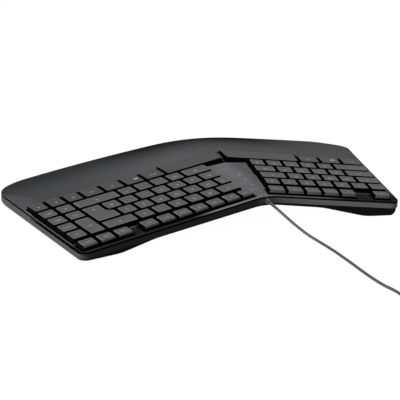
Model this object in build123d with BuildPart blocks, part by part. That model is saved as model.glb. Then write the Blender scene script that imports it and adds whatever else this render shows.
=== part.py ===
from build123d import *
import os
from math import atan2, cos, degrees, pi, radians, sin, sqrt, tan

os.makedirs("parts", exist_ok=True)

# Split and tented key field (millimetres and degrees)
pitch = 19.0
split_angle = 11.4
tent_angle = 5.2
half_origin = 60.0
key_plane_height = 28.0

# Outline of the housing, seen from above
outer_edge_right = 165.4
outer_edge_left = 98.8
rear_edge = 89.5
front_radius = 820.0
front_reach = 115.0
front_lead = -9.7
front_corner_right = 48.0
front_corner_left = 40.0
rear_corner = 9.0
layer_corner = 5.4
rear_notch = 62.0

# Levels measured down from the key tops
rim_depth = 4.3
palm_crest_depth = 0.5
palm_front_depth = 9.0
seam_depth = 11.3

# Palm rest, measured across the rows
rise_start = -9.0
palm_crest = -30.0
palm_front = -108.0
outer_roll = 25.0

# Walls
cover_skin = 2.2
cover_wall = 2.0
well_lip = 1.5
groove_drop = 1.1
groove_width = 0.7
groove_depth = 0.6
base_inset = 0.9
base_wall = 1.8
floor_wall = 1.2

# Arched underside, as heights above the desk
desk_gap = 0.6
crown_height = 18.0
left_knee = (-58.0, 12.0)
left_foot = -104.0
right_knee = (126.0, 7.6)
right_foot = 162.0
knee_round = 90.0
crown_round = 160.0
foot_round = 60.0
tuck_reach = 11.0
tuck_height = 7.0
tuck_drop = 1.5
tuck_bends = [(0.0, 0.0), (0.1, 0.45), (0.42, 0.85), (1.0, 1.0)]

# Keycaps
key_gap = 0.8
cap_height = 5.6
cap_taper = 8.0
cap_bevel = 0.5
cap_bevel_taper = 40.0
cap_wall = 2.4
cap_roof = 1.5
key_travel = 2.5
stem_size = 6.4
stem_depth = 6.9
wide_key = 1.8
long_key = 3.2
side_post_inset = 8.0
space_bar_post_inset = 12.0
mirror_gap = 0.5

# Layers under the keys
frame_depth = 8.5
frame_thickness = 1.2
sleeve_wall = 1.0
sleeve_clearance = 0.3
sleeve_top_depth = 4.6
sheet_thickness = 0.4
dome_radius = 3.1
dome_gap = 0.1
dome_taper = 14.0
dome_sides = 6
membrane_thickness = 0.3
plate_thickness = 0.5
layer_margin = 3.2
layer_rear_gap = 0.3
well_margin = 0.8

# Rows, from the near edge to the far edge of the keys, in pitches
row_space = (-1.7, -0.5)
row_f = (-1.5, -0.5)
row_e = (-0.5, 0.5)
row_d = (0.5, 1.5)
row_c = (1.5, 2.5)
row_b = (2.5, 3.5)
row_cb = (1.5, 3.5)
row_a = (3.62, 4.48)

# Keys of the right half: row, then key edges from column zero outwards, in pitches
right_keys = {
    "function_keys_right": [(row_a, [-1.80, -0.94, 0.05, 1.05, 2.04, 3.04, 4.03, 5.03])],
    "media_keys": [(row_a, [5.56, 6.54, 7.53, 8.52])],
    "number_keys_right": [(row_b, [-1.68, -0.38, 0.62, 1.62, 2.62, 3.62, 4.62])],
    "backspace_key": [(row_b, [4.62, 6.52])],
    "delete_key": [(row_cb, [6.52, 7.52])],
    "top_letter_keys_right": [(row_c, [-1.79, -0.96, 0.04, 1.04, 2.04, 3.04, 4.04, 5.04])],
    "home_letter_keys_right": [(row_d, [-1.79, -0.63, 0.37, 1.37, 2.37, 3.37, 4.37, 5.37])],
    "bottom_letter_keys_right": [(row_e, [-1.88, -0.14, 0.86, 1.86, 2.86, 3.86])],
    "shift_key_right": [(row_e, [3.86, 6.52])],
    "navigation_keys": [(row, [7.52, 8.52]) for row in (row_b, row_c, row_d, row_e)],
    "end_key": [(row_d, [6.52, 7.52])],
    "up_key": [(row_e, [6.52, 7.52])],
    "right_arrow_key": [(row_f, [7.54, 8.52])],
    "down_key": [(row_f, [6.53, 7.54])],
    "left_arrow_key": [(row_f, [5.52, 6.53])],
    "control_key_right": [(row_f, [4.28, 5.52])],
    "menu_key": [(row_f, [3.02, 4.28])],
    "function_shift_key": [(row_f, [1.79, 3.02])],
    "alt_key_right": [(row_f, [0.47, 1.79])],
}
# The bent Enter key: its wide upper part and its tall narrow part
enter_blocks = [(*row_c, 5.04, 6.52), (row_d[0], row_c[1], 5.37, 6.52)]

# Keys of the left half
left_keys = {
    "escape_key": [(row_a, [3.80, 4.80])],
    "function_keys_left": [(row_a, [-2.08, -1.06, -0.04, 0.94, 1.92, 2.88])],
    "number_keys_left": [(row_b, [-2.00, -1.06, -0.06, 0.94, 1.94, 2.94, 3.94])],
    "accent_key": [(row_b, [3.94, 4.94])],
    "top_letter_keys_left": [(row_c, [-2.00, -0.43, 0.57, 1.57, 2.57, 3.57])],
    "tab_key": [(row_c, [3.57, 4.94])],
    "home_letter_keys_left": [(row_d, [-2.06, -0.76, 0.24, 1.24, 2.24, 3.24])],
    "caps_lock_key": [(row_d, [3.24, 4.94])],
    "bottom_letter_keys_left": [(row_e, [-2.07, -1.12, -0.12, 0.88, 1.88, 2.88])],
    "shift_key_left": [(row_e, [2.88, 4.94])],
    "alt_key_left": [(row_f, [1.07, 2.34])],
    "system_key": [(row_f, [2.34, 3.63])],
    "control_key_left": [(row_f, [3.63, 4.94])],
}
keys = {1: right_keys, -1: left_keys}
space_edges = {1: 0.47, -1: 1.07}

# Feet and screws, along and across each half
foot_length = 20.0
foot_width = 7.0
foot_thickness = 1.0
foot_clearance = 0.1
foot_corner = 2.0
foot_places = {
    1: [(150.0, 74.0), (150.0, 0.0), (136.0, -76.0)],
    -1: [(74.0, 74.0), (74.0, 0.0), (68.0, -78.0)],
}
screw_places = {1: [(104.0, -82.0), (20.0, -84.0)], -1: [(58.0, -86.0), (0.0, -84.0)]}
screw_shank = 1.2
screw_sides = 8
screw_head = 2.6
screw_head_height = 1.6
screw_length = 6.5
screw_clearance = 0.15
boss_radius = 3.2
boss_sides = 8
base_boss_radius = 4.2
base_boss_height = 4.0
screw_clamp = 2.0

rib_rows = (3.0, 1.0, -1.0)
rib_width = 1.6
layer_inner = -40.8
layer_notch = 12.0
layer_mirror_gap = 0.6

# Board, lenses and cord
board_size = (64.0, 24.0)
board_thickness = 1.2
board_centre = (38.0, -74.0)
board_height = 19.0
board_post = 5.0
chip_size = 9.0
chip_height = 1.4
lens_radius = 0.9
lens_foot = 23.5
lens_clearance = 0.05
lens_sides = 8
lens_places = (16.0, 31.0, 45.0)
cord_diameter = 2.8
cord_sides = 8
relief_height = 22.9
relief_collar = 3.0
relief_neck = 2.2
relief_taper = 0.5
relief_sides = 12
relief_length = 7.0
relief_collar_length = 1.6
relief_clearance = 0.1
coil_radius = 16.0
coil_width = 11.6
coil_height = 13.0
coil_sides = 24
coil_lead = 20.0
tie_thickness = 0.8
tie_width = 5.0
tie_clearance = 0.5
plug_lead = 34.0
plug_length = 18.0
plug_width = 15.0
plug_height = 8.0
plug_chamfer = 1.6
plug_nose = 7.0
plug_nose_radius = 3.0
plug_tail_radius = 2.2
shell_length = 12.0
shell_width = 12.0
shell_height = 4.5
shell_wall = 0.4
tongue_height = 1.8
tongue_setback = 1.0

# Cord: route over the desk, relative to the middle of the key field, heights above the desk
cord_route = [
    (0.0, 97.0, 22.9),
    (-3.6, 107.0, 19.2),
    (-11.0, 119.0, 11.8),
    (-19.5, 132.5, 4.6),
    (-26.0, 147.0, 1.7),
    (-29.2, 168.0, 1.4),
    (-30.8, 194.0, 1.4),
    (-31.6, 222.0, 1.4),
    (-33.8, 248.0, 1.4),
    (-38.2, 266.0, 2.2),
    (-38.2, 282.0, 2.2),
]

swing = radians(split_angle)
lean = radians(tent_angle)
layer_levels = {"sheet": frame_depth + frame_thickness}
layer_levels["membrane"] = layer_levels["sheet"] + sheet_thickness
layer_levels["plate"] = layer_levels["membrane"] + membrane_thickness
layer_levels["end"] = layer_levels["plate"] + plate_thickness


def plan_point(side, along, across):
    """A place on one half's key plane, seen from above, from the middle of the key field."""
    x = half_origin + cos(swing) * cos(lean) * along - sin(swing) * across
    y = sin(swing) * cos(lean) * along + cos(swing) * across
    return (side * x, y)


# Footprint of the housing, from the middle of the key field
notch_y = rear_edge / cos(swing) - half_origin * tan(swing)
far_front = 2.0 * palm_front
with BuildSketch() as footprint:
    with BuildLine():
        Polyline(
            plan_point(1, outer_edge_right, far_front),
            plan_point(1, outer_edge_right, rear_edge),
            (0, notch_y),
            plan_point(-1, outer_edge_left, rear_edge),
            plan_point(-1, outer_edge_left, far_front),
            close=True,
        )
    make_face()
    with Locations((front_lead, front_radius - front_reach)):
        Circle(front_radius, mode=Mode.INTERSECT)
    outline_corners = [
        (plan_point(1, outer_edge_right, rear_edge), rear_corner),
        (plan_point(-1, outer_edge_left, rear_edge), rear_corner),
        ((0, notch_y), rear_notch),
    ]
    for place, radius in outline_corners:
        fillet(footprint.vertices().sort_by_distance((*place, 0))[0], radius)
    for end, radius in ((-1, front_corner_right), (0, front_corner_left)):
        front = footprint.vertices().filter_by_position(Axis.Y, far_front, 0).sort_by(Axis.X)
        fillet(front[end], radius)

footprint_centre = footprint.sketch.bounding_box().center()
shift_x, shift_y = -footprint_centre.X, -footprint_centre.Y
key_field = Location((shift_x, shift_y, 0))
print("middle of the key field", round(shift_x, 3), round(shift_y, 3))


def half_plane(side, depth=0.0):
    """One half's plane, a depth below its key tops, with x to the user's right and y to the rear."""
    across = Vector(cos(swing) * cos(lean), side * sin(swing) * cos(lean), -side * sin(lean))
    up = Vector(side * cos(swing) * sin(lean), sin(swing) * sin(lean), cos(lean))
    start = Vector(shift_x + side * half_origin, shift_y, key_plane_height)
    return Plane(start - up * depth, x_dir=across, z_dir=up)


# The bend that joins the two halves: both profiles turn about one leaning axis over the notch
axis_lean = atan2(cos(swing) * sin(lean), sin(swing))
axis_across = rear_edge + rear_notch / cos(axis_lean)
bend_start = (sin(swing) * axis_across - half_origin) / (cos(swing) * cos(lean))
bend_angle = degrees(2 * atan2(sqrt(sin(lean) ** 2 + (sin(swing) * cos(lean)) ** 2), cos(swing) * cos(lean)))
run_right = outer_edge_right - bend_start + 12.0
run_left = outer_edge_left - bend_start + 12.0


def section_plane(side):
    """Plane across one wing where the bend begins, with x to the rear and y up from the keys."""
    half = half_plane(side)
    start = half.origin + half.x_dir * side * bend_start
    return Plane(start, x_dir=half.y_dir, z_dir=half.x_dir)


bend_foot = section_plane(1).from_local_coords((axis_across, 0))
bend_axis = Axis(bend_foot, (0, -sin(lean), -sin(swing) * cos(lean)))


def carry(profile, size):
    """Carry a profile along the right wing, round the bend and along the left wing."""
    extrude(profile(section_plane(1), size), amount=run_right)
    revolve(profile(section_plane(1), size), axis=bend_axis, revolution_arc=bend_angle)
    extrude(profile(section_plane(-1), size), amount=-run_left)


def cover_profile(plane, drop):
    """Rim, rise beside the keys and crown of the palm rest, closed under the parting line."""
    rear, bottom = rear_edge + 8.0, -seam_depth
    with BuildSketch(plane) as profile:
        with BuildLine():
            wall = Line((rear, bottom), (rear, -rim_depth - drop))
            rim = Line(wall @ 1, (rise_start, -rim_depth - drop))
            halfway = ((rise_start + palm_crest) / 2, -(rim_depth + palm_crest_depth) / 2 - drop)
            foot = TangentArc(rim @ 1, halfway, tangent=rim % 1)
            crest = TangentArc(halfway, (palm_crest, -palm_crest_depth - drop), tangent=foot % 1)
            crown = TangentArc(crest @ 1, (palm_front, -palm_front_depth - drop), tangent=crest % 1)
            Polyline(crown @ 1, (palm_front - 14.0, bottom), wall @ 0)
        make_face()
    return profile.sketch


def below_seam_profile(plane, size):
    """Everything from the parting surface down to a depth under the keys."""
    with BuildSketch(plane) as profile:
        with Locations((-20.0, -(seam_depth + size) / 2)):
            Rectangle(260.0, size - seam_depth)
    return profile.sketch


def stand_in(inset):
    """Keep what lies over the footprint, drawn in by an inset."""
    with BuildSketch(Plane.XY.offset(-30.0)) as base:
        with Locations(key_field):
            add(footprint.sketch)
        if inset:
            offset(amount=-inset)
    extrude(base.sketch, amount=120.0, mode=Mode.INTERSECT)


def roll_ends(drop):
    """Let the top of the palm rest fall away to the rim at both outer ends."""
    for side, edge in ((1, outer_edge_right), (-1, outer_edge_left)):
        half = half_plane(side)
        with BuildSketch(Plane(half.origin, x_dir=half.x_dir, z_dir=-half.y_dir)) as roll:
            with BuildLine():
                start = (side * (edge - outer_roll), -palm_crest_depth - drop)
                end = (side * edge, -rim_depth - drop)
                arc = TangentArc(start, end, tangent=(side, 0))
                run_out = Line(arc @ 1, (arc @ 1) + (arc % 1) * 12.0)
                Polyline(run_out @ 1, ((run_out @ 1).X, 12.0), (start[0], 12.0), arc @ 0)
            make_face()
        extrude(roll.sketch, amount=-palm_front + 20.0, mode=Mode.SUBTRACT)


def keep_above_underside(lift):
    """Keep what lies above the arch and the two standing ends, raised by a lift."""
    far = 300.0
    with BuildSketch(Plane((shift_x, 0, 0), x_dir=(1, 0, 0), z_dir=(0, -1, 0))) as region:
        with BuildLine():
            arch = FilletPolyline(
                (-far, desk_gap + lift),
                (left_foot, desk_gap + lift),
                (left_knee[0], left_knee[1] + lift),
                (0.0, crown_height + lift),
                (right_knee[0], right_knee[1] + lift),
                (right_foot, desk_gap + lift),
                (far, desk_gap + lift),
                radius=[foot_round, knee_round, crown_round, knee_round, foot_round],
            )
            Polyline(arch @ 1, (far, 60.0), (-far, 60.0), arch @ 0)
        make_face()
    extrude(region.sketch, amount=150.0, both=True, mode=Mode.INTERSECT)


def tuck_left_end(wall):
    """Round the lower edge of the left wing's outer end, drawn in by a wall."""
    half = half_plane(-1)
    side, top = base_inset + wall - outer_edge_left, -seam_depth - tuck_drop
    reach, height = tuck_reach - wall, tuck_height - wall
    bends = [(side + reach * x, top - height * y) for x, y in tuck_bends]
    end, beyond, under = side + reach, side - 40.0, top - 60.0
    with BuildSketch(Plane(half.origin, x_dir=half.x_dir, z_dir=-half.y_dir)) as tuck:
        Polygon(*bends, (end, under), (beyond, under), (beyond, top), align=None)
    extrude(tuck.sketch, amount=150.0, both=True, mode=Mode.SUBTRACT)


def mirror_line(across, gap, depth):
    """How far along a half a piece may reach at the mirror plane, a gap short of it."""
    shift = cos(swing) * sin(lean) * depth
    return (sin(swing) * across - half_origin + gap + shift) / (cos(swing) * cos(lean))


def space_bar_corners(side, margin):
    """Corners of a space bar whose inner end follows the mirror plane."""
    near, far = row_space[0] * pitch - margin, row_space[1] * pitch + margin
    edge = space_edges[side] * pitch + margin
    gap = mirror_gap + key_gap / 2 - margin
    ends = [(mirror_line(y, gap, cap_height), y) for y in (far, near)]
    corners = [(edge, near), (edge, far), *ends]
    return [(side * x, y) for x, y in corners[::side]]


def key_blocks(runs):
    """Every key of a node as near, far, inner and outer edge in pitches."""
    return [(near, far, *ends) for (near, far), edges in runs for ends in zip(edges, edges[1:])]


def draw_blocks(side, blocks, margin):
    """Rectangles on one half, each grown by a margin, or drawn in where it is negative."""
    for near, far, inner, outer in blocks:
        with Locations((side * (inner + outer) / 2 * pitch, (near + far) / 2 * pitch)):
            Rectangle((outer - inner) * pitch + 2 * margin, (far - near) * pitch + 2 * margin)


def well_sketch(side, depth, margin):
    """All key places of one half, joined into the openings of the cover."""
    with BuildSketch(half_plane(side, depth)) as wells:
        for runs in keys[side].values():
            draw_blocks(side, [(near, far, edges[0], edges[-1]) for (near, far), edges in runs], margin)
        if side > 0:
            draw_blocks(side, enter_blocks, margin)
        Polygon(*space_bar_corners(side, margin), align=None)
    return wells.sketch


def middle(side, near, far, inner, outer):
    """Centre of a block on one half, in millimetres."""
    return (side * (inner + outer) / 2 * pitch, (near + far) / 2 * pitch)


def post_places(side, near, far, inner, outer):
    """Where a key's posts stand: one in the middle, and two more under a wide or a tall key."""
    x, y = middle(side, near, far, inner, outer)
    places = [(x, y)]
    if outer - inner > wide_key:
        inset = side_post_inset if outer - inner < long_key else space_bar_post_inset
        reach = (outer - inner) / 2 * pitch - inset
        places += [(x - reach, y), (x + reach, y)]
    if far - near > wide_key:
        reach = (far - near) / 2 * pitch - side_post_inset
        places += [(x, y - reach), (x, y + reach)]
    return places


def space_bar_block(side):
    """The space bar of one half as a block, taken along its middle line."""
    near, far = row_space
    inner = mirror_line((near + far) / 2 * pitch, mirror_gap, cap_height) / pitch
    return near, far, inner, space_edges[side]


def all_blocks(side):
    """Every key of one half as a block, with the tall part of the Enter key."""
    blocks = [b for runs in keys[side].values() for b in key_blocks(runs)]
    blocks.append(space_bar_block(side))
    if side > 0:
        blocks.append(enter_blocks[1])
    return blocks


def foot_sketch(side, along, across, clearance):
    """Outline of one rubber foot on the desk, drawn in by a clearance."""
    x, y = plan_point(side, along, across)
    with BuildSketch(Plane((shift_x + x, shift_y + y, 0))) as pad:
        with Locations(Rotation(0, 0, side * split_angle)):
            Rectangle(foot_length, foot_width)
        chamfer(pad.vertices(), foot_corner)
        if clearance:
            offset(amount=-clearance, kind=Kind.INTERSECTION)
    return pad.sketch


def save(piece, name):
    """Name a finished piece and write it out."""
    piece.part.label = name
    export_step(piece.part, f"parts/{name}.step")


screw_seats = [
    half_plane(side, seam_depth + screw_clamp).from_local_coords((side * along, across))
    for side in (1, -1)
    for along, across in screw_places[side]
]
notch_wall_y = notch_y + rear_notch * (1 / cos(swing) - 1)
relief_spot = (shift_x, shift_y + notch_wall_y, relief_height)

# Cover: rim, centre and palm rest in one moulding, with a fine groove round it under the rim
with BuildPart() as groove_floor:
    carry(cover_profile, groove_drop + groove_width)
    stand_in(0.0)
    roll_ends(groove_drop + groove_width)

with BuildPart() as rim_groove:
    carry(cover_profile, groove_drop)
    stand_in(0.0)
    roll_ends(groove_drop)
    add(groove_floor.part, mode=Mode.SUBTRACT)
    with BuildSketch(Plane.XY.offset(-30.0)) as groove_wall:
        with Locations(key_field):
            add(footprint.sketch)
        offset(amount=-groove_depth)
    extrude(groove_wall.sketch, amount=120.0, mode=Mode.SUBTRACT)

with BuildPart() as cover_cavity:
    carry(cover_profile, cover_skin)
    stand_in(cover_wall)
    roll_ends(cover_skin)
    for side in (1, -1):
        extrude(well_sketch(side, frame_depth, well_margin + well_lip), amount=20.0, mode=Mode.SUBTRACT)
    for seat in screw_seats:
        with BuildSketch(Plane(seat)) as boss:
            RegularPolygon(boss_radius, boss_sides)
        extrude(boss.sketch, amount=60.0, mode=Mode.SUBTRACT)

with BuildPart() as top_cover:
    carry(cover_profile, 0.0)
    stand_in(0.0)
    roll_ends(0.0)
    add(cover_cavity.part, mode=Mode.SUBTRACT)
    add(rim_groove.part, mode=Mode.SUBTRACT)
    for side in (1, -1):
        extrude(well_sketch(side, seam_depth, well_margin), amount=20.0, mode=Mode.SUBTRACT)
    for seat in screw_seats:
        with BuildSketch(Plane(seat)) as screw_hole:
            RegularPolygon(screw_shank + screw_clearance, screw_sides)
        extrude(screw_hole.sketch, amount=screw_length + screw_clearance, mode=Mode.SUBTRACT)
    with BuildSketch(Plane(relief_spot, x_dir=(-1, 0, 0), z_dir=(0, 1, 0))) as relief_hole:
        RegularPolygon(relief_neck + relief_clearance, relief_sides)
    extrude(relief_hole.sketch, amount=2 * cover_wall, both=True, mode=Mode.SUBTRACT)
    with BuildSketch() as lens_holes:
        with Locations(*[(shift_x, shift_y + y) for y in lens_places]):
            RegularPolygon(lens_radius + lens_clearance, lens_sides)
    extrude(lens_holes.sketch, amount=60.0, mode=Mode.SUBTRACT)
save(top_cover, "top_cover")

# Base: arched tray with supporting ribs and screw bosses
with BuildPart() as base_cavity:
    carry(below_seam_profile, 60.0)
    stand_in(base_inset + base_wall)
    keep_above_underside(floor_wall)
    tuck_left_end(base_wall)
    for side in (1, -1):
        reach = outer_edge_right if side > 0 else outer_edge_left
        with BuildSketch(half_plane(side, seam_depth)) as ribs:
            for across in rib_rows:
                with Locations((side * reach / 2, across * pitch)):
                    Rectangle(reach - 30.0, rib_width)
        extrude(ribs.sketch, amount=-40.0, mode=Mode.SUBTRACT)
    for seat in screw_seats:
        with BuildSketch(Plane(seat + Vector(0, 0, base_boss_height))) as boss:
            RegularPolygon(base_boss_radius, boss_sides)
        extrude(boss.sketch, amount=-60.0, mode=Mode.SUBTRACT)
    with BuildSketch(Plane.XY.offset(board_height)) as posts:
        with Locations((shift_x + board_centre[0], shift_y + board_centre[1])):
            with GridLocations(board_size[0] - board_post, board_size[1] - board_post, 2, 2):
                RegularPolygon(board_post / 2, boss_sides)
    extrude(posts.sketch, amount=-30.0, mode=Mode.SUBTRACT)

with BuildPart() as base_shell:
    carry(below_seam_profile, 60.0)
    stand_in(base_inset)
    keep_above_underside(0.0)
    tuck_left_end(0.0)
    add(base_cavity.part, mode=Mode.SUBTRACT)
    for seat in screw_seats:
        with BuildSketch(Plane(seat)) as recess:
            RegularPolygon(screw_head + screw_clearance, screw_sides)
        extrude(recess.sketch, amount=-20.0, mode=Mode.SUBTRACT)
        with BuildSketch(Plane(seat)) as screw_hole:
            RegularPolygon(screw_shank + screw_clearance, screw_sides)
        extrude(screw_hole.sketch, amount=20.0, mode=Mode.SUBTRACT)
    for side in (1, -1):
        for along, across in foot_places[side]:
            extrude(foot_sketch(side, along, across, 0.0), amount=foot_thickness, mode=Mode.SUBTRACT)
save(base_shell, "base_shell")

with BuildPart() as rubber_feet:
    for side in (1, -1):
        for along, across in foot_places[side]:
            extrude(foot_sketch(side, along, across, foot_clearance), amount=foot_thickness)
save(rubber_feet, "rubber_feet")

with BuildPart() as case_screws:
    for seat in screw_seats:
        with BuildSketch(Plane(seat)) as head:
            RegularPolygon(screw_head, screw_sides)
        extrude(head.sketch, amount=-screw_head_height)
        with BuildSketch(Plane(seat)) as shank:
            RegularPolygon(screw_shank, screw_sides)
        extrude(shank.sketch, amount=screw_length)
save(case_screws, "case_screws")


# Layers under the keys: guide frame with sleeves, dome sheet, membrane and backing plate
def layer_sketch(side, depth, margin):
    """Outline of a layer: it fills the well and the lip round it, short of the mirror plane."""
    near, far = row_space[0] * pitch - margin, rear_edge - cover_wall - layer_rear_gap
    step = row_space[1] * pitch
    outer = min(
        max(max(edges) for runs in keys[side].values() for _, edges in runs) * pitch + margin,
        (outer_edge_right if side > 0 else outer_edge_left) - cover_wall - layer_rear_gap,
    )
    corners = [
        (outer, near),
        (outer, far - layer_corner),
        (outer - layer_corner, far),
        (layer_inner + layer_notch, far),
        (layer_inner, far - layer_notch),
        (layer_inner, step),
        (mirror_line(step, layer_mirror_gap, depth), step),
        (mirror_line(near, layer_mirror_gap, depth), near),
    ]
    with BuildSketch(half_plane(side, depth)) as layer:
        Polygon(*[(side * x, y) for x, y in corners[::side]], align=None)
    return layer.sketch


def squares(side, depth, places, size):
    """A square at each place on one half."""
    with BuildSketch(half_plane(side, depth)) as field:
        with Locations(*places):
            Rectangle(size, size)
    return field.sketch


for side, name in ((1, "right"), (-1, "left")):
    blocks = all_blocks(side)
    posts = [place for block in blocks for place in post_places(side, *block)]
    domes = [middle(side, *block) for block in blocks]
    bore = stem_size + 2 * sleeve_clearance

    with BuildPart() as key_frame:
        extrude(layer_sketch(side, frame_depth + frame_thickness, layer_margin), amount=frame_thickness)
        sleeve_height = frame_depth - sleeve_top_depth
        extrude(squares(side, frame_depth, posts, bore + 2 * sleeve_wall), amount=sleeve_height)
        extrude(squares(side, seam_depth, posts, bore), amount=seam_depth, mode=Mode.SUBTRACT)
    save(key_frame, f"key_frame_{name}")

    with BuildPart() as dome_sheet:
        extrude(layer_sketch(side, layer_levels["membrane"], layer_margin), amount=sheet_thickness)
        with BuildSketch(half_plane(side, layer_levels["sheet"])) as dome_feet:
            with Locations(*domes):
                RegularPolygon(dome_radius, dome_sides)
        extrude(dome_feet.sketch, amount=layer_levels["sheet"] - stem_depth - dome_gap, taper=dome_taper)
    save(dome_sheet, f"dome_sheet_{name}")

    with BuildPart() as membrane:
        extrude(layer_sketch(side, layer_levels["plate"], layer_margin), amount=membrane_thickness)
    save(membrane, f"membrane_{name}")

    with BuildPart() as backing_plate:
        extrude(layer_sketch(side, layer_levels["end"], layer_margin), amount=plate_thickness)
    save(backing_plate, f"backing_plate_{name}")


# Keys: tapered hollow caps with square posts that slide in the sleeves. The bent Enter cap is two
# convex halves, face to face at its bend.
def make_caps(side, blocks, name, corners=None):
    """One or more keycaps of a node, each with its posts."""
    shrink = (cap_height - cap_bevel) * tan(radians(cap_taper))
    with BuildPart() as caps:
        with BuildSketch(half_plane(side, cap_height)) as base:
            draw_blocks(side, blocks, -key_gap / 2)
            if corners:
                Polygon(*corners, align=None)
        extrude(base.sketch, amount=cap_height - cap_bevel, taper=cap_taper)
        with BuildSketch(half_plane(side, cap_bevel)) as shoulder:
            draw_blocks(side, blocks, -key_gap / 2)
            if corners:
                Polygon(*corners, align=None)
            offset(amount=-shrink, kind=Kind.INTERSECTION)
        extrude(shoulder.sketch, amount=cap_bevel, taper=cap_bevel_taper)
        with BuildSketch(half_plane(side, cap_height)) as hollow:
            draw_blocks(side, blocks, -key_gap / 2 - cap_wall)
            if corners:
                Polygon(*corners, align=None)
                offset(amount=-cap_wall)
        extrude(hollow.sketch, amount=cap_height - cap_roof, mode=Mode.SUBTRACT)
        posts = [place for block in post_blocks(side, blocks, corners) for place in post_places(side, *block)]
        extrude(squares(side, stem_depth, posts, stem_size), amount=stem_depth - cap_roof)
        if blocks is enter_blocks:
            bend = half_plane(side).origin + half_plane(side).x_dir * (enter_blocks[1][2] * pitch + key_gap / 2)
            split(bisect_by=Plane(bend, z_dir=half_plane(side).x_dir), keep=Keep.BOTH)
    save(caps, name)


def post_blocks(side, blocks, corners):
    """The blocks that carry posts: the space bar's own, the tall part of Enter, or all of them."""
    if corners:
        return [space_bar_block(side)]
    if blocks is enter_blocks:
        return [enter_blocks[1]]
    return blocks


for side, name in ((1, "right"), (-1, "left")):
    for node, runs in keys[side].items():
        make_caps(side, key_blocks(runs), node)
    make_caps(side, [], f"space_bar_{name}", space_bar_corners(side, -key_gap / 2))
make_caps(1, enter_blocks, "enter_key")


# Control board on four posts of the base
board_spot = (shift_x + board_centre[0], shift_y + board_centre[1], board_height)
with BuildPart() as controller_board:
    with Locations(board_spot):
        Box(*board_size, board_thickness, align=(Align.CENTER, Align.CENTER, Align.MIN))
    with BuildSketch(Plane(board_spot).offset(board_thickness)) as chips:
        with Locations((-board_size[0] / 4, 0)):
            Rectangle(chip_size, chip_size)
        with Locations((board_size[0] / 4, board_size[1] / 4)):
            Rectangle(chip_size, chip_size / 2)
    extrude(chips.sketch, amount=chip_height)
save(controller_board, "controller_board")

# Light pipes of the three indicators, cut flush with the cover
with BuildPart() as indicator_lenses:
    carry(cover_profile, 0.0)
    with BuildSketch(Plane.XY) as lenses:
        with Locations(*[(shift_x, shift_y + y) for y in lens_places]):
            RegularPolygon(lens_radius, lens_sides)
    extrude(lenses.sketch, amount=100.0, mode=Mode.INTERSECT)
    split(bisect_by=Plane.XY.offset(lens_foot), keep=Keep.TOP)
save(indicator_lenses, "indicator_lenses")

# Strain relief in the rear wall at the notch: neck through the wall, collar and tapered sleeve
relief_face = Plane(relief_spot, x_dir=(-1, 0, 0), z_dir=(0, 1, 0))
with BuildPart() as strain_relief:
    with BuildSketch(relief_face.offset(relief_clearance)) as neck:
        RegularPolygon(relief_neck, relief_sides)
    extrude(neck.sketch, amount=-cover_wall - relief_collar_length)
    with BuildSketch(relief_face.offset(relief_clearance)) as collar:
        RegularPolygon(relief_collar, relief_sides)
    extrude(collar.sketch, amount=relief_collar_length)
    with BuildSketch(relief_face.offset(relief_collar_length)) as sleeve:
        RegularPolygon(relief_neck + relief_taper, relief_sides)
    with BuildSketch(relief_face.offset(relief_length)) as sleeve_tip:
        RegularPolygon(relief_neck, relief_sides)
    loft([sleeve.sketch.face(), sleeve_tip.sketch.face()])
save(strain_relief, "strain_relief")


# Cord over the desk: straight runs joined by arcs as large as the runs allow
def cord_radii(points):
    """The arc at each inner point of the route."""
    radii = []
    for before, here, after in zip(points, points[1:], points[2:]):
        first, second = here - before, after - here
        turn = radians(first.get_angle(second))
        radii.append(0.45 * min(first.length, second.length) / tan(turn / 2))
    return radii


route = [Vector(*relief_spot) + Vector(0, relief_length, 0)]
route += [Vector(shift_x + x, shift_y + y, z) for x, y, z in cord_route]
radii = cord_radii(route)
print("cord radii", [round(r, 1) for r in radii])
with BuildPart() as usb_cord:
    with BuildLine() as cord_path:
        FilletPolyline(*route, radius=radii)
    with BuildSketch(Plane(route[0], z_dir=route[1] - route[0])) as cord_section:
        RegularPolygon(cord_diameter / 2, cord_sides)
    sweep(cord_section.sketch, path=cord_path.line)
save(usb_cord, "usb_cord")
cord_length = cord_path.wires()[0].length
section_area = cord_sides / 2 * (cord_diameter / 2) ** 2 * sin(2 * pi / cord_sides)
print("cord length", round(cord_length, 1))
print("volume ratio", round(usb_cord.part.volume / (section_area * cord_length), 4))

# Put-away coil with its tie, and the plug beside it
outer_turn = coil_radius + (coil_width - cord_diameter) / 2
coil_centre = Vector(route[-1].X - outer_turn, route[-1].Y + coil_lead, tie_thickness)
plug_start = Vector(route[-1].X, coil_centre.Y + plug_lead, plug_height / 2)
plug_face = Plane(plug_start, x_dir=(-1, 0, 0), z_dir=(0, 1, 0))
with BuildPart() as usb_cord_coil:
    with BuildSketch(Plane(coil_centre)) as ring:
        RegularPolygon(coil_radius + coil_width / 2, coil_sides)
        RegularPolygon(coil_radius - coil_width / 2, coil_sides, mode=Mode.SUBTRACT)
    extrude(ring.sketch, amount=coil_height)
    with BuildSketch(Plane(route[-1], x_dir=(-1, 0, 0), z_dir=(0, 1, 0))) as lead_in:
        RegularPolygon(cord_diameter / 2, cord_sides)
    extrude(lead_in.sketch, amount=coil_lead)
    with BuildSketch(plug_face) as lead_out:
        RegularPolygon(cord_diameter / 2, cord_sides)
    extrude(lead_out.sketch, amount=-plug_lead)
save(usb_cord_coil, "usb_cord_coil")

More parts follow.
